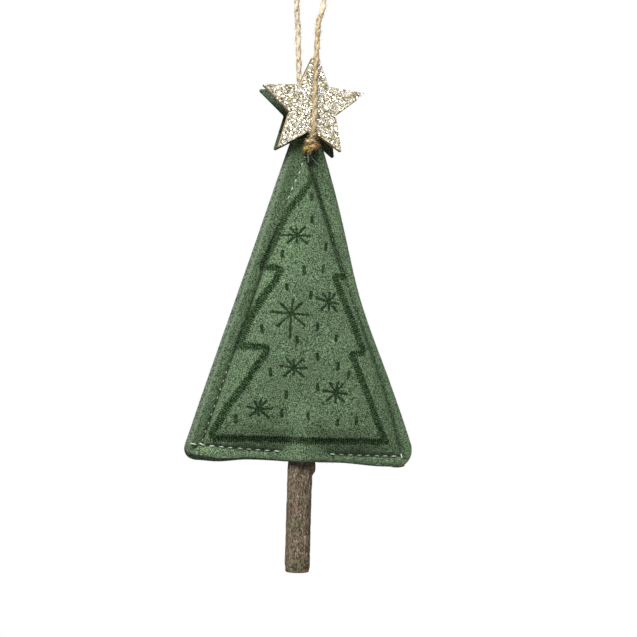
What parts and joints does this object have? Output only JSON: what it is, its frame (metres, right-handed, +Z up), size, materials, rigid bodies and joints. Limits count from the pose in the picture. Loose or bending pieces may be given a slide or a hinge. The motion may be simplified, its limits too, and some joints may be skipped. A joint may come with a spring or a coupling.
{
  "type": "christmas tree ornament",
  "caption": "Hanging stuffed felt tree with stitched edges, a twig trunk, a glittered wooden star and a knotted twine loop.",
  "frame": {"origin": "inside top of the twine loop, where the ornament hangs", "axes": "+Z up along the hanging line, -Y the printed front, +X to the right seen from the front"},
  "size_m": [0.0806, 0.015, 0.2125],
  "materials": {
    "tree_felt": "matt needled wool-look felt, green",
    "star_felt": "matt needled felt, the same green, in shade",
    "wadding": "loose white polyester fill",
    "seam_thread": "pale green-white sewing thread, slight lustre",
    "twig": "grey-brown bark, with sawn wood at the ends",
    "star_board": "cut edge of thin tan board",
    "glitter": "champagne glitter flakes",
    "twine": "hairy two-ply jute twine",
    "glue": "set hot-melt glue, translucent"
  },
  "bodies": {
    "hanger": {"twine_loop": "twine", "twine_knot": "twine"},
    "ornament": {"front_panel": "tree_felt", "back_panel": "tree_felt", "wadding": "wadding", "trunk": "twig", "trunk_glue": "glue", "star_board": "star_board", "star_glitter": "glitter", "star_felt": "star_felt", "star_glue_front": "glue", "star_glue_back": "glue", "seam_left_front": "seam_thread", "seam_left_back": "seam_thread", "seam_bottom_front": "seam_thread", "seam_bottom_back": "seam_thread", "seam_right_front": "seam_thread", "seam_right_back": "seam_thread"}
  },
  "joints": [
    {"name": "hanger_swing", "type": "hinge", "parent": "hanger", "child": "ornament", "pos_m": [0, 0, -0.062], "axis": [0, 1, 0], "range_deg": [-90, 90]}
  ]
}
